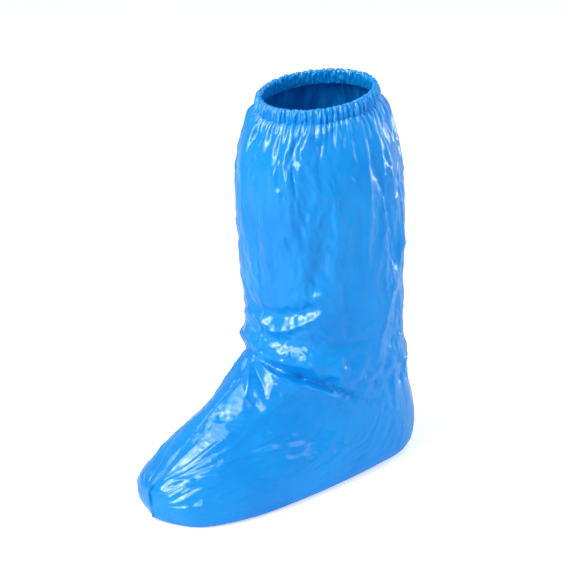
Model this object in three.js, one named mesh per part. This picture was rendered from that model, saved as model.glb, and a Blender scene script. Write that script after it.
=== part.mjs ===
// A disposable boot cover of thin film, in the shape that it has on a wearer's left foot and calf.
// Two boot-shaped film panels are welded edge to edge down the shin, round the toe, under the sole
// and up the calf. A folded hem gathers their top on an elastic band. Millimetres, +Z up, the toe
// points along -Y, the outer side of the foot is +X, and the origin is the middle of the elastic band.
import * as THREE from "three";
import { mergeVertices } from "three/addons/utils/BufferGeometryUtils.js";

// Driving dimensions.
const WALL = 1; // film wall
const GAP = 0.3; // clearance between neighbouring pieces
const WELD_WIDTH = 2; // weld bead between the two panels
const WELD_PROUD = 1.4; // how far the bead stands out of the film
const HEM_LOW = { frontZ: 318, backZ: 331 }; // lower edge of the hem above the floor
const HEM_HEIGHT = 12;
const RING_HALF_X = 48; // middle of the elastic band, from the leg's axis
const RING_HALF_Y = 49;
const PLEATS = 40; // pleats of the hem round the calf
const PLEAT_DEPTH = 0.8;
const BAND_HEIGHT = 6;
const BAND_THICK = 1.2;
const GATHER_DEPTH = 1.1; // gathers that run from the hem down the film
const GATHER_REACH = 34;

// Resolution.
const STATIONS = 46; // sections from the hem to the toe
const COLUMNS = 18; // facets round one panel
const SECTION_STEPS = 64; // fine points of one section before it is divided into facets
const TRACK_STEPS = 400; // fine points along the whole cover before it is divided into stations
const FOLD_STEPS = 10; // points along one fold
const TOE_STEPS = 4; // facets of the weld's upright stretch at the toe
const BAND_STEPS = 48;

const EDGE = WELD_WIDTH / 2 + GAP; // where a panel's edge lies, from the weld's middle
const CAVITY = BAND_THICK / 2 + GAP + PLEAT_DEPTH; // half of the room inside the hem
const RING_MIDDLE_Z = (HEM_LOW.frontZ + HEM_LOW.backZ + HEM_HEIGHT) / 2;
const HEM_TILT = Math.atan2(HEM_LOW.backZ - HEM_LOW.frontZ, 2 * RING_HALF_Y);
const HEM_REACH = RING_HALF_Y + CAVITY + WALL / 2; // the film's top edge, from the leg's axis

const table = (columns, rows) =>
  rows.map((row) => Object.fromEntries(columns.map((name, i) => [name, row[i]])));

// Sections from the hem to the toe, each in the plane of its front and back points. Heights are
// above the floor, and a back point below the floor is pressed flat on it. outer and inner are the
// half widths, and widest says how far from front to back they lie. The powers shape the outline:
// 2 is an ellipse, and more is squarer.
const SECTIONS = table(
  ["frontY", "frontZ", "backY", "backZ", "outer", "inner", "widest", "frontPower", "backPower"],
  [
    [-HEM_REACH, HEM_LOW.frontZ - 1, HEM_REACH, HEM_LOW.backZ - 1, 50, 50, 0.5, 2.0, 2.0],
    [-60, 309, 59, 322, 57, 57, 0.5, 2.0, 2.0],
    [-67, 294, 66, 305, 63, 63, 0.5, 2.0, 2.0],
    [-69, 272, 73, 280, 66, 66, 0.5, 2.0, 2.0],
    [-69, 243, 77, 247, 67, 67, 0.5, 2.0, 2.0],
    [-66, 209, 80, 210, 66, 66, 0.5, 2.0, 2.0],
    [-63, 176, 82, 173, 64, 64, 0.5, 2.0, 2.0],
    [-61, 144, 84, 134, 62, 62, 0.5, 2.0, 2.0],
    [-64, 120, 88, 96, 60, 60, 0.5, 2.0, 2.0],
    [-76, 106, 97, 56, 59, 58, 0.53, 2.0, 2.1],
    [-90, 98, 102, 20, 58, 56, 0.58, 2.0, 2.3],
    [-104, 89, 85, -3, 57, 54, 0.66, 2.0, 2.8],
    [-117, 80, 38, -5, 59, 53, 0.71, 2.0, 3.2],
    [-129, 71, -14, -5, 60, 54, 0.74, 2.1, 3.4],
    [-141, 62, -62, -5, 59, 55, 0.75, 2.1, 3.4],
    [-153, 53, -101, -5, 56, 53, 0.75, 2.1, 3.2],
    [-164, 45, -131, -5, 49, 49, 0.74, 2.1, 3.0],
    [-173, 39, -151, -5, 41, 43, 0.72, 2.1, 2.8],
    [-179, 34, -164, -4, 32, 34, 0.68, 2.1, 2.5],
    [-182, 30, -174, -1, 20, 22, 0.6, 2.0, 2.2],
    [-184, 26, -182, 4, EDGE, EDGE, 0.5, 2.0, 2.0],
  ],
);

// Folds that stay in the film: along runs from the hem at 0 to the toe at 1, and around from the front
// weld at 0 to the back weld at 1. A positive height is a ridge, a negative one a dent, and spread is
// its half width.
const FOLDS = table(
  ["fold", "side", "along0", "around0", "along1", "around1", "spread", "height"],
  [
    ["ankle crease, front", "outer", 0.49, 0.0, 0.53, 0.25, 10, -4.5],
    ["ankle crease, side", "outer", 0.54, 0.28, 0.57, 0.5, 10, -3],
    ["slack over the crease", "outer", 0.44, 0.1, 0.5, 0.45, 12, 3.5],
    ["shin buckle, front", "outer", 0.39, 0.0, 0.4, 0.11, 9, 3],
    ["shin buckle, side", "outer", 0.4, 0.11, 0.355, 0.28, 9, 3],
    ["dent over the buckle", "outer", 0.355, 0.08, 0.335, 0.25, 9, -3],
    ["calf hollow", "outer", 0.04, 0.56, 0.27, 0.67, 10, -3],
    ["heel strap of slack", "outer", 0.31, 0.68, 0.46, 0.52, 10, 3],
    ["instep ridge", "outer", 0.52, 0.2, 0.64, 0.17, 9, 3],
    ["toe pull", "outer", 0.93, 0.14, 0.74, 0.26, 9, -2.5],
    ["ankle crease", "inner", 0.49, 0.0, 0.57, 0.42, 10, -4],
    ["slack over the crease", "inner", 0.44, 0.1, 0.5, 0.42, 12, 3],
    ["shin buckle", "inner", 0.38, 0.02, 0.36, 0.26, 9, 3],
    ["calf hollow", "inner", 0.08, 0.6, 0.3, 0.68, 10, -3],
    ["instep ridge", "inner", 0.52, 0.22, 0.66, 0.2, 9, 2.5],
  ],
);

// A curve through a place worked out from each row of the sections.
const track = (place) => new THREE.CatmullRomCurve3(SECTIONS.map((row) => new THREE.Vector3(...place(row))));
const FRONT = track((row) => [0, row.frontY, row.frontZ]);
const BACK = track((row) => [0, row.backY, row.backZ]);
const HALVES = track((row) => [row.outer, row.inner, row.widest]);
const POWERS = track((row) => [row.frontPower, row.backPower, 0]);

// Stations evenly spaced along the film: how far down the table each one lies, from 0 to 1.
function evenStations(count) {
  const lengths = [0];
  for (let i = 1; i <= TRACK_STEPS; i++) {
    const [a, b] = [(i - 1) / TRACK_STEPS, i / TRACK_STEPS];
    const front = FRONT.getPoint(a).distanceTo(FRONT.getPoint(b));
    const back = BACK.getPoint(a).distanceTo(BACK.getPoint(b));
    lengths.push(lengths[i - 1] + Math.sqrt(front * back) + (front + back) / 4);
  }
  const total = lengths[TRACK_STEPS];
  return Array.from({ length: count + 1 }, (_, k) => {
    const wanted = (k / count) * total;
    const i = Math.max(1, lengths.findIndex((length) => length >= wanted - 1e-9));
    return (i - 1 + (wanted - lengths[i - 1]) / (lengths[i] - lengths[i - 1])) / TRACK_STEPS;
  });
}
const PLACES = evenStations(STATIONS);

// Points evenly spaced along a fine polyline.
function divide(points, count) {
  const path = new THREE.CurvePath();
  for (let i = 1; i < points.length; i++) path.add(new THREE.LineCurve3(points[i - 1], points[i]));
  return path.getSpacedPoints(count);
}

// One side of the section at a place, from its front point to its back point, flat on the floor
// where it meets it.
function halfSection(place, side) {
  const [front, back] = [FRONT.getPoint(place), BACK.getPoint(place)];
  const halves = HALVES.getPoint(place);
  const powers = POWERS.getPoint(place);
  const half = Math.max(EDGE, side > 0 ? halves.x : halves.y);
  const points = [];
  for (let i = 0; i <= SECTION_STEPS; i++) {
    const angle = (i / SECTION_STEPS) * Math.PI;
    const [c, s] = [Math.cos(angle), Math.sin(angle)];
    const power = 2 / (c > 0 ? powers.x : powers.y);
    const bulge = Math.max(0, s) ** power;
    const across = Math.abs(c) ** power;
    const share = c > 0 ? halves.z * (1 - across) : halves.z + (1 - halves.z) * across;
    const point = new THREE.Vector3().lerpVectors(front, back, share);
    point.x = side * (EDGE + (half - EDGE) * bulge);
    point.z = Math.max(point.z, 0);
    points.push(point);
  }
  return divide(points, COLUMNS);
}

// The unit normals of a grid of points, out of the film on the given side.
function normalsOf(grid, side) {
  return grid.map((row, i) =>
    row.map((_, j) => {
      const along = new THREE.Vector3().subVectors(
        grid[Math.min(i + 1, grid.length - 1)][j],
        grid[Math.max(i - 1, 0)][j],
      );
      const around = new THREE.Vector3().subVectors(
        row[Math.min(j + 1, row.length - 1)],
        row[Math.max(j - 1, 0)],
      );
      return along.cross(around).multiplyScalar(side).normalize();
    }),
  );
}

// A solid wall: the grid is its outer face, and the inner face lies a wall's thickness inside it,
// clear of the weld.
function wallGeometry(grid, normals, side) {
  const [rows, columns] = [grid.length, grid[0].length];
  const inner = grid.map((row, i) =>
    row.map((point, j) => {
      const inside = point.clone().addScaledVector(normals[i][j], -WALL);
      inside.x = side * Math.max(side * inside.x, EDGE);
      return inside;
    }),
  );
  const positions = [...grid.flat(), ...inner.flat()].flatMap((p) => p.toArray());
  const at = (i, j, face) => face * rows * columns + i * columns + j;
  const indices = [];
  const quad = (a, b, c, d) => indices.push(...(side > 0 ? [a, c, b, a, d, c] : [a, b, c, a, c, d]));
  for (let i = 0; i < rows - 1; i++)
    for (let j = 0; j < columns - 1; j++) {
      quad(at(i, j, 0), at(i, j + 1, 0), at(i + 1, j + 1, 0), at(i + 1, j, 0));
      quad(at(i, j, 1), at(i + 1, j, 1), at(i + 1, j + 1, 1), at(i, j + 1, 1));
    }
  for (let i = 0; i < rows - 1; i++) {
    quad(at(i, 0, 0), at(i + 1, 0, 0), at(i + 1, 0, 1), at(i, 0, 1));
    quad(at(i, columns - 1, 0), at(i, columns - 1, 1), at(i + 1, columns - 1, 1), at(i + 1, columns - 1, 0));
  }
  for (let j = 0; j < columns - 1; j++) {
    quad(at(0, j, 0), at(0, j, 1), at(0, j + 1, 1), at(0, j + 1, 0));
    quad(at(rows - 1, j, 0), at(rows - 1, j + 1, 0), at(rows - 1, j + 1, 1), at(rows - 1, j, 1));
  }
  return closedGeometry(positions, indices);
}

// One closed body from corners and triangles, with shared corners merged.
function closedGeometry(positions, indices) {
  const geometry = new THREE.BufferGeometry();
  geometry.setAttribute("position", new THREE.Float32BufferAttribute(positions, 3));
  geometry.setIndex(indices);
  const merged = mergeVertices(geometry, 1e-4);
  merged.computeVertexNormals();
  return merged;
}

// A solid made by carrying closed loops of points along a route; a closed route has no ends.
function loopGeometry(loops, closed) {
  const size = loops[0].length;
  const indices = [];
  for (let i = 0; i < loops.length - (closed ? 0 : 1); i++)
    for (let j = 0; j < size; j++) {
      const [k, n] = [(i + 1) % loops.length, (j + 1) % size];
      const [a, b, c, d] = [i * size + j, k * size + j, k * size + n, i * size + n];
      indices.push(a, b, c, a, c, d);
    }
  if (!closed) {
    const last = (loops.length - 1) * size;
    for (let j = 1; j < size - 1; j++) indices.push(0, j, j + 1, last, last + j + 1, last + j);
  }
  return closedGeometry(loops.flat().flatMap((p) => p.toArray()), indices);
}

// How far the folds move the film out at a point of the grid.
function foldHeight(point, grid, folds) {
  return folds.reduce((height, fold) => {
    const distances = Array.from({ length: FOLD_STEPS + 1 }, (_, k) => {
      const share = k / FOLD_STEPS;
      const i = Math.round(THREE.MathUtils.lerp(fold.along0, fold.along1, share) * STATIONS);
      const j = Math.round(THREE.MathUtils.lerp(fold.around0, fold.around1, share) * COLUMNS);
      return point.distanceTo(grid[i][j]);
    });
    const away = Math.min(...distances) / fold.spread;
    return height + fold.height * Math.exp(-away * away);
  }, 0);
}

// One film panel. Its edges keep to the weld, its top keeps to the hem, and what lies on the floor
// stays there.
function panelGeometry(side) {
  const grid = PLACES.map((place) => halfSection(place, side));
  const normals = normalsOf(grid, side);
  const folds = FOLDS.filter((fold) => fold.side === (side > 0 ? "outer" : "inner"));
  const folded = grid.map((row, i) =>
    row.map((point, j) => {
      const free = Math.sin((j / COLUMNS) * Math.PI) ** 0.5;
      const drop = grid[0][j].distanceTo(point);
      const gather = (j % 2 ? 1 : -1) * GATHER_DEPTH * Math.max(0, 1 - drop / GATHER_REACH);
      const height = free * (foldHeight(point, grid, folds) + gather);
      const moved = point.clone().addScaledVector(normals[i][j], height);
      moved.z = point.z > 0 ? Math.max(moved.z, 0) : 0;
      return moved;
    }),
  );
  return wallGeometry(folded, normalsOf(folded, side), side);
}

// The weld bead: down the front, round the toe, under the sole and up the back. It is flush with the sole.
function weldGeometry() {
  const front = PLACES.map((place) => FRONT.getPoint(place));
  const back = PLACES.map((place) => BACK.getPoint(place));
  back.forEach((point) => (point.z = Math.max(point.z, 0)));
  const toe = divide([front.at(-1), back.at(-1)], TOE_STEPS).slice(1, -1);
  const route = [...front, ...toe, ...back.reverse()];
  const loops = route.map((point, i) => {
    const tangent = new THREE.Vector3().subVectors(
      route[Math.min(i + 1, route.length - 1)],
      route[Math.max(i - 1, 0)],
    );
    const out = new THREE.Vector3(0, -tangent.z, tangent.y).normalize().negate();
    const proud = point.z > 0 ? WELD_PROUD : 0;
    const corner = (x, height) => {
      const p = point.clone().addScaledVector(out, height);
      p.x = (x * WELD_WIDTH) / 2;
      return p;
    };
    return [corner(-1, proud), corner(1, proud), corner(1, -WALL), corner(-1, -WALL)];
  });
  return loopGeometry(loops, false);
}

// A loop of corners, out from the band's middle and up from it, at an angle round the leg.
function ringLoop(angle, corners) {
  return corners.map(([out, up]) => {
    const [x, y] = [(RING_HALF_X + out) * Math.cos(angle), (RING_HALF_Y + out) * Math.sin(angle)];
    return new THREE.Vector3(x, y, up).applyAxisAngle(new THREE.Vector3(1, 0, 0), HEM_TILT);
  });
}

// The hem: film folded down over the band, open below, and pleated all the way round.
function hemGeometry() {
  const steps = PLEATS * 2;
  const low = -HEM_HEIGHT / 2 + GAP;
  const high = HEM_HEIGHT / 2;
  const loops = Array.from({ length: steps }, (_, i) => {
    const pleat = i % 2 ? PLEAT_DEPTH : -PLEAT_DEPTH;
    const [near, far] = [CAVITY, CAVITY + WALL];
    const corners = [
      [far, low],
      [far, high - WALL],
      [near, high],
      [-near, high],
      [-far, high - WALL],
      [-far, low],
      [-near, low],
      [-near, high - WALL],
      [near, high - WALL],
      [near, low],
    ];
    return ringLoop((i / steps) * 2 * Math.PI, corners.map(([out, up]) => [out + pleat, up]));
  });
  return loopGeometry(loops, true);
}

// The elastic band that the hem is folded over.
function bandGeometry() {
  const [half, tall] = [BAND_THICK / 2, BAND_HEIGHT / 2];
  const corners = [
    [half, -tall],
    [half, tall],
    [-half, tall],
    [-half, -tall],
  ];
  const turn = (2 * Math.PI) / BAND_STEPS;
  return loopGeometry(
    Array.from({ length: BAND_STEPS }, (_, i) => ringLoop(i * turn, corners)),
    true,
  );
}

const film = new THREE.MeshStandardMaterial({ color: 0x1c8ee6, roughness: 0.25, metalness: 0 });
const weld = new THREE.MeshStandardMaterial({ color: 0x1478cc, roughness: 0.35, metalness: 0 });
const elastic = new THREE.MeshStandardMaterial({ color: 0xdfe8f2, roughness: 0.8, metalness: 0 });

function piece(name, geometry, material) {
  const mesh = new THREE.Mesh(geometry, material);
  mesh.name = name;
  return mesh;
}

// The panels and their weld are laid out from the floor, and the group brings the band's middle to
// the origin.
const body = new THREE.Group();
body.position.z = -RING_MIDDLE_Z;
body.add(piece("outer_panel", panelGeometry(1), film));
body.add(piece("inner_panel", panelGeometry(-1), film));
body.add(piece("centre_weld", weldGeometry(), weld));

const cover = new THREE.Group();
cover.add(body);
cover.add(piece("gathered_hem", hemGeometry(), film));
cover.add(piece("elastic_band", bandGeometry(), elastic));

export default cover;
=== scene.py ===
"""A disposable boot cover of thin glossy blue film, in its worn form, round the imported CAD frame.

Metres, +Z up, the toe points along -Y and the outer side of the foot is +X, as in the frame.
The film is one fine grid from the hem to the toe. Cloth simulation slackens it over a plain inner form,
which is removed, then named folds and the gathers are worked in, and the grid is cut into its two panels.
"""
import math

import bpy
import numpy as np
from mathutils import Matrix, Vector, noise


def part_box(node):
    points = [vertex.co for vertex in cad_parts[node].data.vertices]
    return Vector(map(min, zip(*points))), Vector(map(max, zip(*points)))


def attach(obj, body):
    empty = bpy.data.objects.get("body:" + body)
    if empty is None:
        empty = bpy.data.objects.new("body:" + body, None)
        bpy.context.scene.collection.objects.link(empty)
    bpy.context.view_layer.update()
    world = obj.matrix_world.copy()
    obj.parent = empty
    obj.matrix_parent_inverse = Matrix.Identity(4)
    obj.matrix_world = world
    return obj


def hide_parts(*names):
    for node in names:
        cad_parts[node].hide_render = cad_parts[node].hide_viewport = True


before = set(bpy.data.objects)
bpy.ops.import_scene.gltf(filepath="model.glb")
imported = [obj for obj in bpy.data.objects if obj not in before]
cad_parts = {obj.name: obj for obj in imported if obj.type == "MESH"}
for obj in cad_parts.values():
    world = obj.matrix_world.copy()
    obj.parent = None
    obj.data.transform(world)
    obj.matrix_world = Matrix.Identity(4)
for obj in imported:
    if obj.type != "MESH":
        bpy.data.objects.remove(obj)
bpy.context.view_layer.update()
MM = 0.001

# Film sections from the hem to the toe, in millimetres above the sole: the frame's own sections.
SECTION_COLUMNS = (
    "front_y", "front_z", "back_y", "back_z", "outer", "inner", "widest", "front_power", "back_power",
)
SECTIONS = np.array([
    (-51, 317, 51, 330, 50, 50, 0.5, 2.0, 2.0),
    (-60, 309, 59, 322, 57, 57, 0.5, 2.0, 2.0),
    (-67, 294, 66, 305, 63, 63, 0.5, 2.0, 2.0),
    (-69, 272, 73, 280, 66, 66, 0.5, 2.0, 2.0),
    (-69, 243, 77, 247, 67, 67, 0.5, 2.0, 2.0),
    (-66, 209, 80, 210, 66, 66, 0.5, 2.0, 2.0),
    (-63, 176, 82, 173, 64, 64, 0.5, 2.0, 2.0),
    (-61, 144, 84, 134, 62, 62, 0.5, 2.0, 2.0),
    (-64, 120, 88, 96, 60, 60, 0.5, 2.0, 2.0),
    (-76, 106, 97, 56, 59, 58, 0.53, 2.0, 2.1),
    (-90, 98, 102, 20, 58, 56, 0.58, 2.0, 2.3),
    (-104, 89, 85, -3, 57, 54, 0.66, 2.0, 2.8),
    (-117, 80, 38, -5, 59, 53, 0.71, 2.0, 3.2),
    (-129, 71, -14, -5, 60, 54, 0.74, 2.1, 3.4),
    (-141, 62, -62, -5, 59, 55, 0.75, 2.1, 3.4),
    (-153, 53, -101, -5, 56, 53, 0.75, 2.1, 3.2),
    (-164, 45, -131, -5, 49, 49, 0.74, 2.1, 3.0),
    (-173, 39, -151, -5, 41, 43, 0.72, 2.1, 2.8),
    (-179, 34, -164, -4, 32, 34, 0.68, 2.1, 2.5),
    (-182, 30, -174, -1, 20, 22, 0.6, 2.0, 2.2),
    (-184, 26, -182, 4, 0, 0, 0.5, 2.0, 2.0),
])
FLOOR_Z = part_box("outer_panel")[0][2]

# Resolution of the simulated grid and of the finished one.
SIM_ROWS = 150
SIM_COLUMNS = 50
ROWS = 276
COLUMNS = 170
SECTION_STEPS = 256
TRACK_STEPS = 800


def catmull_rom(rows, t):
    """Rows of a table at fractional row numbers t, on a smooth curve through them."""
    i = np.clip(np.floor(t).astype(int), 0, len(rows) - 2)
    u = (t - i)[:, None]
    padded = np.vstack([2 * rows[0] - rows[1], rows, 2 * rows[-1] - rows[-2]])
    a, b, c, d = padded[i], padded[i + 1], padded[i + 2], padded[i + 3]
    return b + 0.5 * u * (c - a + u * (2 * a - 5 * b + 4 * c - d + u * (3 * (b - c) + d - a)))


def even_stations(count):
    """Fractional row numbers of stations that are evenly spaced along the film."""
    t = np.linspace(0, len(SECTIONS) - 1, TRACK_STEPS + 1)
    track = catmull_rom(SECTIONS, t)
    front = np.linalg.norm(np.diff(track[:, 0:2], axis=0), axis=1)
    back = np.linalg.norm(np.diff(track[:, 2:4], axis=0), axis=1)
    lengths = np.concatenate([[0], np.cumsum(np.sqrt(front * back) + (front + back) / 4)])
    return np.interp(np.linspace(0, lengths[-1], count + 1), lengths, t)


def half_grid(side, rows, columns):
    """One side of the film as a grid of points in metres, each row evenly divided from front to back."""
    grid = np.zeros((rows + 1, columns + 1, 3))
    turn = np.linspace(0, math.pi, SECTION_STEPS + 1)
    cosine, sine = np.cos(turn), np.maximum(np.sin(turn), 0)
    for k, row in enumerate(catmull_rom(SECTIONS, even_stations(rows))):
        front_y, front_z, back_y, back_z, outer, inner, widest, front_power, back_power = row
        power = 2 / np.where(cosine > 0, front_power, back_power)
        across = np.abs(cosine) ** power
        share = np.where(cosine > 0, widest * (1 - across), widest + (1 - widest) * across)
        half = max(outer if side > 0 else inner, 0)
        points = np.column_stack([
            side * half * sine ** power,
            front_y + (back_y - front_y) * share,
            np.maximum(front_z + (back_z - front_z) * share, 0),
        ])
        steps = np.concatenate([[0], np.cumsum(np.linalg.norm(np.diff(points, axis=0), axis=1))])
        even = np.linspace(0, steps[-1], columns + 1)
        grid[k] = np.column_stack([np.interp(even, steps, points[:, axis]) for axis in range(3)])
    return grid * MM + np.array([0, 0, FLOOR_Z])


def film_ring(rows, columns):
    """The whole film: columns 0 to columns-1 go back over the outer side, the rest forward over the inner."""
    outer = half_grid(1, rows, columns)
    inner = half_grid(-1, rows, columns)
    return np.concatenate([outer, inner[:, -2:0:-1]], axis=1)


def grid_normals(ring):
    """Outward unit normals of a ring grid."""
    along = np.gradient(ring, axis=0)
    around = np.roll(ring, -1, axis=1) - np.roll(ring, 1, axis=1)
    normals = np.cross(along, around)
    normals[-1] = normals[-2]
    return normals / np.maximum(np.linalg.norm(normals, axis=2, keepdims=True), 1e-12)


def mesh_object(name, points, faces):
    mesh = bpy.data.meshes.new(name)
    mesh.from_pydata([tuple(p) for p in points], [], faces)
    mesh.validate()
    mesh.update()
    obj = bpy.data.objects.new(name, mesh)
    bpy.context.scene.collection.objects.link(obj)
    return obj


# ---------------------------------------------------------------------------------------------
# Cloth simulation: the slack film settles over a plain inner form and crumples a little.

SIM_SCALE = 10  # the cloth solver is steadier on a larger copy
SIM_FRAMES = 45
SIM_GRAVITY = 0.5
SHOULDER = 0.12  # how far along the film the gathered part ends
SLACK_BY_HEIGHT = ((0, 60, 105, 190, 330), (0.0, 0.02, 0.07, 0.06, 0.05))  # mm above the sole, share
SLACK_ACROSS = 0.03
SIM_SHARE_BY_HEIGHT = ((0, 60, 110, 330), (0.3, 0.35, 0.75, 0.75))  # mm above the sole
SIM_BLUR = 6  # cells of the simulated grid: wider changes than this are taken out again
ROUGHNESS = 1.6 * MM  # how uneven the film starts
FORM_DEPTH = ((0, 0.05, 0.3, 0.44, 0.52, 1), (3, 16, 15, 9, 4, 3))  # along the film, mm under it
MOST_MOVE = 9 * MM


def vertex_numbers(rows, count):
    """Vertex numbers of a ring grid whose last row is one line that both sides share."""
    numbers = np.arange(rows * count).reshape(rows, count)
    side = np.arange(count)
    numbers[-1] = numbers[-1, np.where(side > count // 2, count - side, side)]
    return numbers


def ring_faces(numbers):
    """Quads of a ring grid, facing out."""
    after = np.roll(numbers, -1, axis=1)
    quads = np.stack([numbers[:-1], numbers[1:], after[1:], after[:-1]], axis=-1).reshape(-1, 4)
    return [tuple(int(v) for v in quad) for quad in quads]


def rest_ring(ring):
    """The film's own lengths: a straight tube where it is gathered, and longer than it hangs by its slack."""
    rest = ring.copy()
    last = int(SHOULDER * (len(ring) - 1))
    step = np.linalg.norm(np.diff(ring[: last + 1], axis=0), axis=2).mean(axis=1)
    rises = np.concatenate([np.cumsum(step[::-1])[::-1], [0]])
    rest[:last] = ring[last] + rises[:last, None, None] * np.array([0, 0, 1])
    heights = (rest[:, :, 2] - FLOOR_Z) / MM
    levels = np.linspace(0, heights.max(), 200)
    share = np.interp(levels, *SLACK_BY_HEIGHT)
    risen = np.concatenate([[0], np.cumsum((1 + (share[1:] + share[:-1]) / 2) * np.diff(levels))])
    rest[:, :, 2] = FLOOR_Z + np.interp(heights, levels, risen) * MM
    rest[:, :, :2] *= 1 + SLACK_ACROSS
    return rest


def roughness(ring):
    """Smooth unevenness that the folds start from, none at the sole."""
    coarse, fine = 0.024, 0.012
    lumps = [
        noise.noise(Vector(p / coarse)) + 0.5 * noise.noise(Vector(p / fine)) for p in ring.reshape(-1, 3)
    ]
    rise = np.clip((ring[:, :, 2] - FLOOR_Z) / (12 * MM), 0, 1)
    return (ROUGHNESS * np.array(lumps).reshape(rise.shape) * rise)[:, :, None]


def smoothed(values, along, around):
    """A ring grid of values, blurred with a bell of that many rows and columns."""
    result = values
    for axis, spread in ((0, along), (1, around)):
        reach = int(3 * spread)
        bell = np.exp(-0.5 * (np.arange(-reach, reach + 1) / spread) ** 2)
        bell /= bell.sum()
        padding = [(0, 0)] * values.ndim
        padding[axis] = (reach, reach)
        padded = np.pad(result, padding, mode="edge" if axis == 0 else "wrap")
        length = values.shape[axis]
        result = sum(weight * np.take(padded, range(k, k + length), axis=axis) for k, weight in enumerate(bell))
    return result


def slackened(ring):
    """The ring after its film has settled under gravity, held at the hem and at the sole."""
    rows, count = ring.shape[:2]
    numbers = vertex_numbers(rows, count)
    places, used = np.unique(numbers, return_inverse=True)
    used = used.reshape(numbers.shape)
    start = (ring + grid_normals(ring) * roughness(ring)).reshape(-1, 3)[places]
    film = mesh_object("film_sim", start * SIM_SCALE, ring_faces(used))

    film.shape_key_add(name="worn")
    key = film.shape_key_add(name="rest")
    key.data.foreach_set("co", (rest_ring(ring).reshape(-1, 3)[places] * SIM_SCALE).ravel())

    pins = film.vertex_groups.new(name="pins")
    heights = (start[:, 2] - FLOOR_Z) / MM
    held = np.where((heights < 0.3) | (places < 2 * count), 1.0, 0.0)
    held[used[-1]] = 1.0
    for vertex in np.nonzero(held)[0]:
        pins.add([int(vertex)], 1.0, "REPLACE")

    along = np.linspace(0, 1, rows)
    depth = np.interp(along, *FORM_DEPTH)[:, None, None] * MM
    inner = (ring - grid_normals(ring) * depth)[::2, ::2]
    form_numbers = vertex_numbers(*inner.shape[:2])
    form = mesh_object("form_sim", inner.reshape(-1, 3) * SIM_SCALE, ring_faces(form_numbers))
    form.modifiers.new("Collision", "COLLISION")
    form.collision.thickness_outer = 0.004
    form.collision.cloth_friction = 12

    cloth = film.modifiers.new("Cloth", "CLOTH")
    settings = cloth.settings
    settings.quality = 6
    settings.mass = 0.12
    settings.tension_stiffness = 60
    settings.compression_stiffness = 60
    settings.shear_stiffness = 20
    settings.bending_stiffness = 0.35
    settings.air_damping = 1.5
    settings.vertex_group_mass = "pins"
    settings.effector_weights.gravity = SIM_GRAVITY
    settings.rest_shape_key = key
    cloth.collision_settings.distance_min = 0.008
    cloth.collision_settings.collision_quality = 2
    cloth.point_cache.frame_start = 1
    cloth.point_cache.frame_end = SIM_FRAMES
    scene = bpy.context.scene
    for step in range(1, SIM_FRAMES + 1):
        scene.frame_set(step)
    settled = film.evaluated_get(bpy.context.evaluated_depsgraph_get()).to_mesh()
    points = np.zeros(len(settled.vertices) * 3)
    settled.vertices.foreach_get("co", points)
    points = points.reshape(-1, 3) / SIM_SCALE
    scene.frame_set(1)
    bpy.data.objects.remove(film)
    bpy.data.objects.remove(form)
    moved = points[used] - ring
    size = np.linalg.norm(moved, axis=2, keepdims=True)
    moved = moved * np.minimum(1, MOST_MOVE / np.maximum(size, 1e-9))
    # The folds stay and the form as a whole does not shift; on the foot the film is drawn tighter.
    folds = moved - smoothed(moved, SIM_BLUR, SIM_BLUR)
    heights = (ring[:, :, 2:3] - FLOOR_Z) / MM
    return ring + folds * np.interp(heights, *SIM_SHARE_BY_HEIGHT)


def refined(ring, rows, count):
    """A ring grid resampled smoothly to more rows and columns."""
    tall = catmull_rom(ring.reshape(len(ring), -1), np.linspace(0, len(ring) - 1, rows + 1))
    tall = tall.reshape(rows + 1, ring.shape[1], 3)
    wide = np.concatenate([tall[:, -2:], tall, tall[:, :3]], axis=1).transpose(1, 0, 2)
    at = 2 + np.arange(count) * ring.shape[1] / count
    return catmull_rom(wide.reshape(len(wide), -1), at).reshape(count, rows + 1, 3).transpose(1, 0, 2)


# ---------------------------------------------------------------------------------------------
# Folds placed one by one. A place is (along, around): along is 0 at the hem and 1 at the toe, around is 0
# at the front, 1 at the back over the outer side and -1 at the back over the inner side. spread is the
# half width in millimetres, height is out of the film, and sharp is 2 for a soft swell and 1 for a crease.

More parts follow.
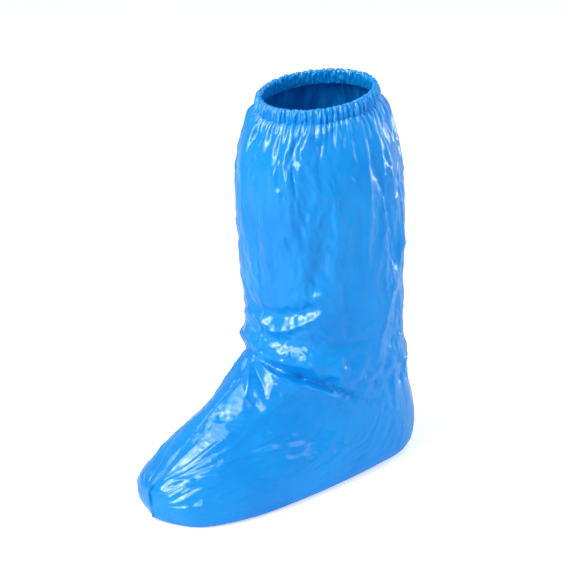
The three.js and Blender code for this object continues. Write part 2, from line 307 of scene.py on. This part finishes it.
FOLD_COLUMNS = ("fold", "route", "spread", "height", "sharp")
FOLDS = [
    # Ankle: a deep crease from the notch round the outer side, with slack hanging over it.
    ("ankle crease", ((0.484, -0.1), (0.497, 0.06), (0.512, 0.17), (0.53, 0.3), (0.556, 0.5)), 3.6, -7.5, 1.0),
    ("ankle slack", ((0.452, 0.04), (0.468, 0.2), (0.497, 0.36), (0.53, 0.5)), 9, 4.5, 2.0),
    ("ankle lip", ((0.507, 0.02), (0.526, 0.16), (0.549, 0.3), (0.58, 0.44)), 5, 3.0, 1.6),
    ("ankle crease inner", ((0.484, -0.06), (0.5, -0.2), (0.53, -0.36), (0.56, -0.55)), 4.5, -5.0, 1.05),
    ("ankle slack inner", ((0.455, -0.08), (0.472, -0.24), (0.505, -0.42)), 9, 3.5, 2.0),
    ("ankle crinkle 1", ((0.478, 0.02), (0.484, 0.12), (0.48, 0.22)), 2.5, 1.8, 1.0),
    ("ankle crinkle 2", ((0.468, -0.04), (0.472, 0.09), (0.463, 0.16)), 2.5, -1.8, 1.0),
    ("ankle spike", ((0.452, 0.34), (0.463, 0.3), (0.478, 0.2)), 2.5, 2.0, 0.9),
    ("ankle spike drop", ((0.452, 0.34), (0.475, 0.345)), 2.5, 1.8, 0.9),
    # Shin: a shallow smile of buckled film and the crumples over it.
    ("shin smile", ((0.388, -0.12), (0.398, 0.0), (0.409, 0.08), (0.385, 0.19), (0.352, 0.29)), 3.4, 5.0, 1.1),
    ("shin smile dent", ((0.374, -0.08), (0.38, 0.06), (0.365, 0.18), (0.345, 0.26)), 6, -3.6, 2.0),
    ("shin glint left", ((0.343, -0.04), (0.352, 0.03)), 2.5, 1.8, 1.0),
    ("shin glint right", ((0.322, 0.28), (0.334, 0.2)), 2.5, 1.8, 1.0),
    ("shin sag 1", ((0.43, 0.0), (0.44, 0.12), (0.432, 0.26)), 4, -2.2, 1.5),
    ("shin sag 2", ((0.415, 0.24), (0.43, 0.36), (0.425, 0.48)), 4, -2.2, 1.5),
    ("calf facet 1", ((0.06, 0.13), (0.1, 0.15), (0.135, 0.155)), 3.5, 2.6, 1.0),
    ("calf facet 2", ((0.06, 0.21), (0.075, 0.24), (0.09, 0.25)), 3.5, 2.4, 1.0),
    ("calf facet 3", ((0.07, -0.02), (0.1, -0.03), (0.13, -0.03)), 3.5, 2.4, 1.0),
    ("calf facet 4", ((0.1, 0.3), (0.14, 0.33), (0.2, 0.335)), 2.8, 2.0, 1.0),
    ("calf facet 5", ((0.2, 0.02), (0.24, 0.05), (0.3, 0.055)), 2.8, 1.9, 1.0),
    ("calf facet 6", ((0.22, 0.36), (0.28, 0.34), (0.33, 0.36)), 2.8, -2.0, 1.0),
    ("calf ledge", ((0.168, 0.18), (0.18, 0.24), (0.184, 0.34)), 3, 2.2, 1.0),
    ("calf line", ((0.05, 0.22), (0.1, 0.2), (0.15, 0.19), (0.172, 0.2)), 3, 1.8, 1.0),
    # Back of the calf: a long crease beside a broad smooth band.
    ("calf hollow", ((0.02, 0.5), (0.09, 0.52), (0.17, 0.57), (0.27, 0.65)), 3.5, -3.2, 1.0),
    ("calf band", ((0.03, 0.56), (0.11, 0.6), (0.2, 0.66), (0.3, 0.74)), 9, 2.6, 2.0),
    ("calf hollow inner", ((0.05, -0.55), (0.16, -0.6), (0.28, -0.7)), 4, -3.0, 1.05),
    ("calf drape inner", ((0.05, -0.3), (0.18, -0.34), (0.3, -0.3)), 5, -2.0, 1.6),
    ("heel streak 1", ((0.28, 0.66), (0.34, 0.6), (0.41, 0.55), (0.46, 0.52)), 3.5, 2.6, 1.05),
    ("heel streak 2", ((0.3, 0.72), (0.37, 0.66), (0.45, 0.62)), 3, -2.2, 1.05),
    ("heel streak 3", ((0.33, 0.8), (0.42, 0.7), (0.5, 0.64), (0.57, 0.64)), 3.5, 2.0, 1.05),
    ("heel streak 4", ((0.44, 0.78), (0.5, 0.72), (0.56, 0.72)), 3, -1.8, 1.05),
    ("heel tuck", ((0.5, 0.9), (0.52, 1.0), (0.5, -0.9)), 5, -3.0, 1.5),
    ("heel slack", ((0.46, 0.86), (0.48, 1.0), (0.46, -0.86)), 9, 3.0, 2.0),
    # Instep: a fan of pulls from the notch, and the long ridge between its lit top and its side.
    ("instep ridge", ((0.505, 0.23), (0.56, 0.19), (0.64, 0.15), (0.74, 0.127), (0.86, 0.125)), 5, 2.2, 1.4),
    ("instep pull 1", ((0.492, 0.0), (0.52, 0.09), (0.545, 0.18)), 2.2, 2.8, 1.0),
    ("instep pull 2", ((0.495, -0.02), (0.55, 0.07), (0.6, 0.12)), 2.2, -2.8, 1.0),
    ("instep pull 3", ((0.495, -0.04), (0.56, 0.03), (0.64, 0.08)), 2.4, 2.9, 1.0),
    ("instep pull 4", ((0.495, -0.06), (0.56, -0.02), (0.65, 0.01)), 2.6, -2.6, 1.05),
    ("instep pull 5", ((0.495, -0.1), (0.56, -0.1), (0.64, -0.08)), 2.6, 2.4, 1.05),
    ("instep wedge", ((0.52, 0.14), (0.535, 0.2), (0.515, 0.24)), 3, 2.4, 1.0),
    ("instep dent 1", ((0.6, 0.06), (0.63, 0.12)), 5, -2.4, 2.0),
    ("instep dent 2", ((0.68, 0.03), (0.72, 0.06)), 5, -2.0, 2.0),
    # Toe: tension lines that run back from the tip of the seam.
    ("toe pull 1", ((0.945, 0.1), (0.86, 0.15), (0.78, 0.18), (0.7, 0.16)), 2.5, 1.6, 1.0),
    ("toe pull 2", ((0.945, 0.12), (0.87, 0.18), (0.79, 0.21), (0.72, 0.26)), 2.5, -1.8, 1.0),
    ("toe pull 3", ((0.945, 0.14), (0.88, 0.21), (0.8, 0.24), (0.73, 0.29)), 2.5, 1.7, 1.0),
    ("toe pull 4", ((0.945, 0.08), (0.87, 0.1), (0.79, 0.11)), 2.5, -1.8, 1.0),
    ("toe pull 5", ((0.945, -0.08), (0.88, -0.12), (0.8, -0.14)), 2.5, -1.0, 1.0),
    ("toe pull 6", ((0.945, -0.12), (0.88, -0.2), (0.8, -0.24)), 2.5, 1.1, 1.0),
    ("toe fan 1", ((0.95, 0.07), (0.89, 0.1), (0.83, 0.12), (0.76, 0.13)), 1.8, 2.0, 0.9),
    ("toe fan 2", ((0.95, 0.09), (0.88, 0.135), (0.8, 0.165)), 1.6, -2.0, 0.9),
    ("toe fan 3", ((0.95, 0.11), (0.87, 0.17), (0.77, 0.225), (0.71, 0.25)), 1.8, 2.3, 0.9),
    ("toe fan 4", ((0.95, 0.05), (0.89, 0.05), (0.81, 0.06)), 1.6, 1.7, 0.9),
    ("toe fan 5", ((0.95, 0.13), (0.9, 0.22), (0.85, 0.28), (0.78, 0.31)), 1.8, 1.7, 0.9),
    ("toe fan 6", ((0.95, 0.02), (0.9, 0.0), (0.84, -0.01)), 1.6, -1.4, 0.9),
    ("toe star", ((0.955, 0.08), (0.93, 0.16), (0.91, 0.3)), 3, 1.5, 1.4),
    ("toe crumple 1", ((0.955, 0.3), (0.962, 0.42)), 2, 1.6, 1.0),
    ("toe crumple 2", ((0.93, 0.36), (0.945, 0.46)), 2, 1.4, 1.0),
    ("toe crumple 3", ((0.955, -0.25), (0.965, -0.4)), 2, 0.8, 1.0),
    # Outer side of the foot: faint diagonal wrinkles over the sole edge.
    ("side wrinkle 1", ((0.62, 0.4), (0.67, 0.44), (0.73, 0.48)), 3, 1.4, 1.05),
    ("side wrinkle 2", ((0.6, 0.34), (0.66, 0.36), (0.71, 0.4)), 3, -1.2, 1.05),
    ("side wrinkle 3", ((0.66, 0.5), (0.7, 0.52), (0.75, 0.56)), 3, 1.2, 1.05),
    ("side wrinkle inner 1", ((0.6, -0.36), (0.67, -0.4), (0.73, -0.46)), 3, 1.6, 1.05),
    ("side wrinkle inner 2", ((0.64, -0.3), (0.71, -0.3), (0.77, -0.34)), 3, -1.4, 1.05),
]
FOLD_SAMPLES = 40
# Short crisp creases scattered over the calf and, fewer and lower, over the foot.
SCATTERS = (  # how many, along from and to, mm high, change along, change around
    (90, 0.06, 0.46, 1.5, 0.06, 0.08),
    (26, 0.4, 0.56, 1.4, 0.02, 0.14),
    (34, 0.58, 0.92, 0.9, 0.06, 0.06),
)


def at_place(ring, along, around):
    """The point of a ring grid at a place."""
    rows, count = ring.shape[0] - 1, ring.shape[1]
    row = along * rows
    column = (around % 2) * count / 2
    i, j = min(int(row), rows - 1), int(column)
    u, v = row - i, column - j
    a, b = ring[i, j % count], ring[i, (j + 1) % count]
    c, d = ring[i + 1, j % count], ring[i + 1, (j + 1) % count]
    return (a * (1 - v) + b * v) * (1 - u) + (c * (1 - v) + d * v) * u


def scattered_creases():
    """Rows like those of the fold table, for the short creases."""
    chance = np.random.default_rng(29)
    rows = []
    for count, start, end, tall, change_along, change_around in SCATTERS:
        for k in range(count):
            along, around = chance.uniform(start, end), chance.uniform(-1, 1)
            down = change_along * chance.uniform(0.4, 1)
            turn = change_around * chance.uniform(-1, 1)
            bend = change_around * chance.uniform(-0.2, 0.2)
            route = ((along, around), (along + down / 2, around + turn / 2 + bend), (along + down, around + turn))
            height = tall * chance.uniform(0.4, 1) * chance.choice((-1, 1))
            rows.append(("crease", route, chance.uniform(1.5, 2.6), height, 1.0))
    return rows


def fold_heights(ring):
    """How far the placed folds and short creases move each point of the grid, in metres."""
    points = ring.reshape(-1, 3)
    total = np.zeros(len(points))
    for fold, route, spread, height, sharp in FOLDS + scattered_creases():
        steps = np.linspace(0, len(route) - 1, FOLD_SAMPLES)
        places = catmull_rom(np.array(route), steps)
        line = np.array([at_place(ring, along, around) for along, around in places])
        taper = np.sin(np.linspace(0.06, 0.94, FOLD_SAMPLES) * math.pi) ** 0.6
        reach = 3.2 * spread * MM
        near = np.nonzero(((points > line.min(axis=0) - reach) & (points < line.max(axis=0) + reach)).all(axis=1))[0]
        distance = np.linalg.norm(points[near, None] - line[None], axis=2)
        closest = distance.argmin(axis=1)
        away = distance[np.arange(len(near)), closest] / (spread * MM)
        total[near] += height * MM * taper[closest] * np.exp(-(away ** sharp))
    return total.reshape(ring.shape[:2])


# ---------------------------------------------------------------------------------------------
# Gathers: fine pleats from the elastic open into tents of film that widen and fade down the calf.

PLEATS = 66
FINE_DEPTH = 1.7 * MM
FINE_FADE = 13 * MM
COARSE_FOLDS = 19
COARSE_DEPTH = 0.8 * MM
COARSE_FADE = 30 * MM
TENTS = 22
TENT_HEIGHTS = (1.2, 2.7)  # mm
TENT_LENGTHS = (17, 44)  # mm
TENT_LEAN = 0.3  # sideways for each unit down
TENT_WIDTHS = (1.5, 0.25)  # mm at the hem, and for each unit down
TENT_START = 5 * MM
CALF_RADIUS = 60 * MM


def uneven_wave(turn, count, seed, spread):
    """A wave of that many ridges round the hem, uneven in width and height; turn is in radians."""
    chance = np.random.default_rng(seed)
    knots = np.arange(count + 1) * math.tau / count
    knots[1:-1] += chance.uniform(-spread, spread, count - 1) * math.tau / count
    heights = chance.uniform(0.5, 1.2, count + 1)
    heights[-1] = heights[0]
    phase = np.interp(turn % math.tau, knots, np.arange(count + 1))
    ridge = np.abs(np.cos(math.pi * phase))
    return (1.6 * ridge - 1) * np.interp(phase, np.arange(count + 1), heights)


def gather_heights(ring):
    """How far the gathers move each point of the grid under the hem, in metres."""
    rows, count = ring.shape[:2]
    turn = np.arange(count) * math.tau / count
    step = np.linalg.norm(np.diff(ring, axis=0), axis=2).mean(axis=1)
    down = np.concatenate([[0], np.cumsum(step)])[:, None]
    start = 1 - np.exp(-down / TENT_START)
    heights = FINE_DEPTH * uneven_wave(turn, PLEATS, 11, 0.3) * np.exp(-(down / FINE_FADE) ** 1.5)
    heights = heights + COARSE_DEPTH * uneven_wave(turn, COARSE_FOLDS, 5, 0.35) * start * np.exp(
        -(down / COARSE_FADE) ** 1.4
    )
    chance = np.random.default_rng(17)
    for tent in range(TENTS):
        centre = (tent + chance.uniform(-0.38, 0.38)) * math.tau / TENTS
        tall = chance.uniform(*TENT_HEIGHTS) * MM
        length = chance.uniform(*TENT_LENGTHS) * MM
        lean = chance.uniform(-TENT_LEAN, TENT_LEAN)
        apart = (turn - centre + math.pi) % math.tau - math.pi
        away = np.abs(apart * CALF_RADIUS - lean * down) / (TENT_WIDTHS[0] * MM + TENT_WIDTHS[1] * down)
        heights = heights + tall * start * np.clip(1 - away, 0, 1) * np.exp(-(down / length) ** 2)
    return heights


# Creases over all the film: sharp ridges between small flat facets, longer the way the film is pulled.
CREASE_LENGTHS = ((0, 0.3, 0.4, 0.52, 0.62, 1.0), (30, 28, 13, 12, 26, 30))  # along the film, mm
CREASE_WIDTH = 13  # mm
CREASE_STRENGTH = ((0, 0.1, 0.4, 0.55, 0.65, 1.0), (0.6, 1.6, 1.6, 1.3, 0.8, 0.8))  # along the film
FILM_LENGTH = 430  # mm
FILM_GIRTH = 400  # mm
CREASE_LAYERS = ((1.0, 1.3, 0.0), (2.1, 0.75, 7.3), (4.3, 0.3, 19.1))  # fineness, mm high, shift


def crease_heights(ring):
    """How far the creases move each point of the grid, in metres."""
    rows, count = ring.shape[:2]
    share = np.linspace(0, 1, rows)
    each = FILM_LENGTH / (rows - 1) / np.interp(share, *CREASE_LENGTHS)
    down = np.cumsum(each)
    turn = np.arange(count) * math.tau / count
    radius = FILM_GIRTH / math.tau / CREASE_WIDTH
    total = np.zeros((rows, count))
    for fineness, height, shift in CREASE_LAYERS:
        for k in range(rows):
            for j in range(count):
                place = Vector((radius * math.cos(turn[j]), radius * math.sin(turn[j]), down[k] + shift))
                ridge = 0.5 - abs(noise.noise(place * fineness)) * 2
                here = noise.noise(place * 0.3 + Vector((shift, 3.1, 0.7)))
                total[k, j] += height * ridge * min(max(0.45 + 1.5 * here, 0.08), 1)
    return total * np.interp(share, *CREASE_STRENGTH)[:, None] * MM


film = film_ring(SIM_ROWS, SIM_COLUMNS)
film = slackened(film)
film = refined(film, ROWS, 2 * COLUMNS)
above = np.clip((film[:, :, 2] - FLOOR_Z) / (7 * MM), 0, 1)
toe_line = np.clip((1 - np.linspace(0, 1, ROWS + 1)) / 0.02, 0, 1)[:, None]
film_out = grid_normals(film)
lift = (fold_heights(film) + crease_heights(film)) * above * toe_line + gather_heights(film)
film = film + film_out * lift[:, :, None]
film[:, :, 2] = np.maximum(film[:, :, 2], FLOOR_Z)

# The top edge turns in under the hem.
HEM_TUCK = ((0, 1, 2), (0.93, 0.975, 1.0), (4.5, 2.0, 0.5))  # row, share of the radius, mm up
for row, share, rise in zip(*HEM_TUCK):
    film[row, :, :2] *= share
    film[row, :, 2] += rise * MM


# ---------------------------------------------------------------------------------------------
# Materials.

BLUE_THIN = (0.003, 0.315, 0.78, 1)
BLUE_THICK = (0.002, 0.262, 0.72, 1)
ELASTIC_LIGHT = (0.72, 0.76, 0.82, 1)
ELASTIC_DARK = (0.5, 0.55, 0.64, 1)


def varied(material, texture, output, stops, socket):
    """Links a socket of the material's shader to a texture through a ramp of two stops."""
    nodes, links = material.node_tree.nodes, material.node_tree.links
    ramp = nodes.new("ShaderNodeValToRGB")
    for element, (position, colour) in zip(ramp.color_ramp.elements, stops):
        element.position = position
        element.color = colour
    links.new(texture.outputs[output], ramp.inputs["Fac"])
    links.new(ramp.outputs["Color"], nodes["Principled BSDF"].inputs[socket])


def bumped(material, texture, output, strength, depth):
    """Gives the material a bump from a texture; depth is in metres."""
    nodes, links = material.node_tree.nodes, material.node_tree.links
    bump = nodes.new("ShaderNodeBump")
    bump.inputs["Strength"].default_value = strength
    bump.inputs["Distance"].default_value = depth
    links.new(texture.outputs[output], bump.inputs["Height"])
    links.new(bump.outputs["Normal"], nodes["Principled BSDF"].inputs["Normal"])


def noise_texture(material, scale, detail):
    nodes, links = material.node_tree.nodes, material.node_tree.links
    place = nodes.new("ShaderNodeTexCoord")
    texture = nodes.new("ShaderNodeTexNoise")
    texture.inputs["Scale"].default_value = scale
    texture.inputs["Detail"].default_value = detail
    links.new(place.outputs["Object"], texture.inputs["Vector"])
    return texture


def film_material(name, gloss_from, gloss_to):
    """Thin blown film: its blue is a little uneven in thickness, and its gloss a little scuffed."""
    material = bpy.data.materials.new(name)
    material.use_nodes = True
    material.node_tree.nodes["Principled BSDF"].inputs["Specular IOR Level"].default_value = 0.26
    cloudy = noise_texture(material, 22, 3)
    varied(material, cloudy, "Fac", ((0.32, BLUE_THICK), (0.68, BLUE_THIN)), "Base Color")
    scuffed = noise_texture(material, 60, 4)
    stops = ((0.35, (gloss_from,) * 3 + (1,)), (0.7, (gloss_to,) * 3 + (1,)))
    varied(material, scuffed, "Fac", stops, "Roughness")
    bumped(material, noise_texture(material, 95, 3), "Fac", 0.07, 0.0012)
    return material


FILM_FINISH = film_material("blue film", 0.14, 0.22)
WELD_FINISH = film_material("welded blue film", 0.22, 0.34)
ELASTIC_FINISH = bpy.data.materials.new("elastic")
ELASTIC_FINISH.use_nodes = True
ELASTIC_FINISH.node_tree.nodes["Principled BSDF"].inputs["Roughness"].default_value = 0.75
threads = noise_texture(ELASTIC_FINISH, 900, 2)
varied(ELASTIC_FINISH, threads, "Fac", ((0.35, ELASTIC_DARK), (0.65, ELASTIC_LIGHT)), "Base Color")
bumped(ELASTIC_FINISH, threads, "Fac", 0.4, 0.0003)


def place_piece(obj, node, finish):
    """Puts a finished piece in the scene in place of its CAD node."""
    for face in obj.data.polygons:
        face.use_smooth = True
    obj.data.materials.append(finish)
    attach(obj, "root")
    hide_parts(node)
    return obj


# ---------------------------------------------------------------------------------------------
# Pieces.

FILM_THICK = 0.35 * MM


def grid_piece(name, grid, closed_rows, closed_columns):
    """A grid of points as a mesh, joined up over the edges that are closed."""
    rows, count = grid.shape[:2]
    numbers = np.arange(rows * count).reshape(rows, count)
    if closed_rows:
        numbers = np.vstack([numbers, numbers[:1]])
    if closed_columns:
        numbers = np.hstack([numbers, numbers[:, :1]])
    quads = np.stack([numbers[:-1, :-1], numbers[1:, :-1], numbers[1:, 1:], numbers[:-1, 1:]], axis=-1)
    return mesh_object(name, grid.reshape(-1, 3), [tuple(int(v) for v in q) for q in quads.reshape(-1, 4)])


def panel(name, grid):
    """One side of the film, as a sheet with a thickness."""
    obj = grid_piece(name, grid, False, False)
    solid = obj.modifiers.new("thickness", "SOLIDIFY")
    solid.thickness = FILM_THICK
    solid.offset = -1
    return obj


outer_film = panel("outer_film", film[:, : COLUMNS + 1])
inner_film = panel("inner_film", np.concatenate([film[:, COLUMNS:], film[:, :1]], axis=1))

# Hem: a flattened tube of film round the elastic, gathered into fine uneven pleats.
HEM_COLUMNS = 900
HEM_STEPS = 36
HEM_RADIUS = (48 * MM, 49 * MM)
HEM_TILT = 6.5 * MM
HEM_HALF_HEIGHT = 6.4 * MM
HEM_HALF_THICK = 2.4 * MM
HEM_CLEAR = 0.8 * MM
HEM_PLEAT = 1.9 * MM
HEM_CREASE = 0.6 * MM
HEM_RUFFLE = 1.9 * MM
HEM_LUMP = 1.1 * MM
HEM_FLARE = 1.0 * MM  # the lower edge stands out, the top leans in
HEM_LEAN = 0.03


def hem_grid():
    turn = np.arange(HEM_COLUMNS) * math.tau / HEM_COLUMNS
    section = np.arange(HEM_STEPS) * math.tau / HEM_STEPS
    wave = uneven_wave(turn, PLEATS, 11, 0.3)
    fine = uneven_wave(turn, 2 * PLEATS + 9, 23, 0.3)
    lean = uneven_wave(turn, 31, 3, 0.3)
    around, loop = np.meshgrid(turn, section)
    height = np.sign(np.sin(loop)) * np.abs(np.sin(loop)) ** 0.75
    outward = np.sign(np.cos(loop)) * np.abs(np.cos(loop)) ** 0.7
    side = 0.65 + 0.35 * outward
    pinch = 0.55 + 0.45 * np.clip(1 - np.abs(height) ** 2, 0, 1)
    # Each pleat leans a little as it rises.
    turned = (around + HEM_LEAN * height * lean[None]) % math.tau
    pleat = np.interp(turned, np.append(turn, math.tau), np.append(wave, wave[0]))
    crease = np.interp(turned, np.append(turn, math.tau), np.append(fine, fine[0]))
    lumps = np.array([
        noise.noise(Vector((24 * math.cos(t), 24 * math.sin(t), 1.6 * h))) for t, h in zip(around.flat, height.flat)
    ]).reshape(around.shape)
    radial = HEM_HALF_THICK * outward + (HEM_PLEAT * pleat + HEM_CREASE * crease) * side * (0.6 + 0.4 * pinch)
    radial += HEM_LUMP * lumps - HEM_FLARE * height
    # The valleys between pleats stay clear of the elastic.
    radial = np.where(outward > 0.4, np.maximum(radial, HEM_CLEAR), radial)
    radial = np.where(outward < -0.4, np.minimum(radial, -HEM_CLEAR), radial)
    rise = HEM_HALF_HEIGHT * height + HEM_RUFFLE * 0.5 * (pleat + 0.5 * crease) * np.clip(height, -0.3, 1)
    grid = np.zeros(around.shape + (3,))
    grid[:, :, 0] = (HEM_RADIUS[0] + radial) * np.sin(around)
    grid[:, :, 1] = -(HEM_RADIUS[1] + radial) * np.cos(around)
    grid[:, :, 2] = rise - HEM_TILT * np.cos(around)
    return grid


hem = grid_piece("hem", hem_grid(), True, True)

BAND_COLUMNS = 160
BAND_HALF_HEIGHT = 3 * MM
BAND_HALF_THICK = 0.5 * MM


def band_grid():
    turn = np.arange(BAND_COLUMNS) * math.tau / BAND_COLUMNS
    corners = ((1, -1), (1, 1), (-1, 1), (-1, -1))
    grid = np.zeros((4, BAND_COLUMNS, 3))
    for k, (out, up) in enumerate(corners):
        grid[k, :, 0] = (HEM_RADIUS[0] + out * BAND_HALF_THICK) * np.sin(turn)
        grid[k, :, 1] = -(HEM_RADIUS[1] + out * BAND_HALF_THICK) * np.cos(turn)
        grid[k, :, 2] = up * BAND_HALF_HEIGHT - HEM_TILT * np.cos(turn)
    return grid


band = grid_piece("band", band_grid(), True, True)

# Weld: a thin edge down the shin, round the toe, under the sole and up the back; it stands out at the toe.
WELD_HALF = 0.55 * MM
WELD_LOW = 0.12 * MM
WELD_HIGH = 1.7 * MM
WELD_TOE = 0.965  # along the film, where it starts to stand out
WELD_SECTION = ((-1, -0.6), (-0.8, 0.5), (-0.3, 1), (0.3, 1), (0.8, 0.5), (1, -0.6), (0, -0.9))


def weld_grid():
    track = np.concatenate([film[2:, 0], film[-2:2:-1, COLUMNS]])
    share = np.linspace(0, 1, ROWS + 1)
    along = np.concatenate([share[2:], share[-2:2:-1]])
    forward = np.gradient(track, axis=0)
    forward[:, 0] = 0
    forward /= np.maximum(np.linalg.norm(forward, axis=1, keepdims=True), 1e-9)
    out = np.stack([np.zeros(len(track)), forward[:, 2], -forward[:, 1]], axis=1)
    out *= np.sign(out[20, 1] * -1)
    height = WELD_LOW + (WELD_HIGH - WELD_LOW) * np.clip((along - WELD_TOE) / 0.02, 0, 1)
    height = np.where(track[:, 2] < FLOOR_Z + 6 * MM, WELD_LOW, height)
    count = np.arange(len(track))
    pucker = 0.5 * MM * np.sin(count * 1.1) * np.clip((along - WELD_TOE) / 0.02, 0, 1)
    grid = np.zeros((len(WELD_SECTION), len(track), 3))
    for k, (side, up) in enumerate(WELD_SECTION):
        rise = np.where(up > 0, height, WELD_LOW) * up
        grid[k] = track + out * rise[:, None]
        grid[k, :, 0] += side * WELD_HALF + pucker * max(up, 0)
    grid[:, :, 2] = np.maximum(grid[:, :, 2], FLOOR_Z)
    return grid


weld = grid_piece("weld", weld_grid(), True, False)

place_piece(outer_film, "outer_panel", FILM_FINISH)
place_piece(inner_film, "inner_panel", FILM_FINISH)
place_piece(hem, "gathered_hem", FILM_FINISH)
place_piece(weld, "centre_weld", WELD_FINISH)
place_piece(band, "elastic_band", ELASTIC_FINISH)


# ---------------------------------------------------------------------------------------------
# Floor, light and camera.

scene = bpy.context.scene
scene.view_settings.view_transform = "Standard"
scene.view_settings.look = "None"
TARGET = Vector((0.0, -0.035, -0.158))
CAMERA_TURN = math.radians(48.5)
CAMERA_RISE = math.radians(21)
CAMERA_DISTANCE = 1.5
CAMERA_LENS = 112


def direction(turn, rise):
    """A unit vector from the object towards a place at that turn and rise, in radians."""
    return Vector((math.sin(turn) * math.cos(rise), -math.cos(turn) * math.cos(rise), math.sin(rise)))


def area_light(name, turn, rise, distance, size, power, colour=(1, 1, 1)):
    data = bpy.data.lights.new(name, "AREA")
    data.shape = "RECTANGLE"
    data.size, data.size_y = size
    data.energy = power
    data.color = colour
    light = bpy.data.objects.new(name, data)
    scene.collection.objects.link(light)
    away = direction(math.radians(turn), math.radians(rise))
    light.location = TARGET + away * distance
    light.rotation_euler = away.to_track_quat("Z", "Y").to_euler()
    return light


area_light("key", -5, 45, 1.5, (0.9, 0.9), 16)
area_light("fill", 60, 15, 1.8, (1.0, 1.2), 1.5)
area_light("back rim", 135, 25, 1.5, (0.5, 1.2), 7, (0.9, 0.92, 1))
# Tall strips that only show as glints in the film.
for strip in (
    area_light("front strip", 0, 30, 1.5, (0.42, 1.5), 50, (0.93, 0.96, 1)),
    area_light("middle strip", 30, 42, 1.5, (0.22, 1.2), 17, (0.93, 0.96, 1)),
    area_light("back strip", 168, 10, 1.5, (0.4, 1.3), 16, (0.93, 0.94, 1)),
    area_light("overhead panel", -28, 62, 1.6, (1.3, 0.9), 24, (0.93, 0.96, 1)),
):
    strip.visible_diffuse = False

world = bpy.data.worlds.new("studio")
scene.world = world
world.use_nodes = True
world_nodes, world_links = world.node_tree.nodes, world.node_tree.links
backdrop = world_nodes["Background"]
backdrop.inputs["Color"].default_value = (0.97, 0.975, 1, 1)
backdrop.inputs["Strength"].default_value = 1.0
room = world_nodes.new("ShaderNodeBackground")
room.inputs["Color"].default_value = (0.82, 0.88, 1, 1)
room.inputs["Strength"].default_value = 0.58
path = world_nodes.new("ShaderNodeLightPath")
either = world_nodes.new("ShaderNodeMixShader")
world_links.new(path.outputs["Is Camera Ray"], either.inputs["Fac"])
world_links.new(room.outputs["Background"], either.inputs[1])
world_links.new(backdrop.outputs["Background"], either.inputs[2])
world_links.new(either.outputs["Shader"], world_nodes["World Output"].inputs["Surface"])

floor = grid_piece(
    "floor",
    np.array([[(x, y, FLOOR_Z - 0.0002) for x in (-6.0, 6.0)] for y in (-6.0, 6.0)]),
    False,
    False,
)
FLOOR_FINISH = bpy.data.materials.new("pale floor")
FLOOR_FINISH.use_nodes = True
FLOOR_FINISH.node_tree.nodes["Principled BSDF"].inputs["Base Color"].default_value = (0.95, 0.955, 1, 1)
FLOOR_FINISH.node_tree.nodes["Principled BSDF"].inputs["Roughness"].default_value = 0.6
# The floor is lifted to the white of the backdrop where it is seen, and not where it lights the film.
floor_nodes, floor_links = FLOOR_FINISH.node_tree.nodes, FLOOR_FINISH.node_tree.links
seen = floor_nodes.new("ShaderNodeLightPath")
lifted = floor_nodes.new("ShaderNodeMath")
lifted.operation = "MULTIPLY"
lifted.inputs[1].default_value = 0.47
floor_links.new(seen.outputs["Is Camera Ray"], lifted.inputs[0])
floor_nodes["Principled BSDF"].inputs["Emission Color"].default_value = (0.98, 0.98, 1, 1)
floor_links.new(lifted.outputs["Value"], floor_nodes["Principled BSDF"].inputs["Emission Strength"])
floor.data.materials.append(FLOOR_FINISH)

camera_data = bpy.data.cameras.new("camera")
camera_data.lens = CAMERA_LENS
camera = bpy.data.objects.new("camera", camera_data)
scene.collection.objects.link(camera)
camera.location = TARGET + direction(CAMERA_TURN, CAMERA_RISE) * CAMERA_DISTANCE
camera.rotation_euler = direction(CAMERA_TURN, CAMERA_RISE).to_track_quat("Z", "Y").to_euler()
scene.camera = camera
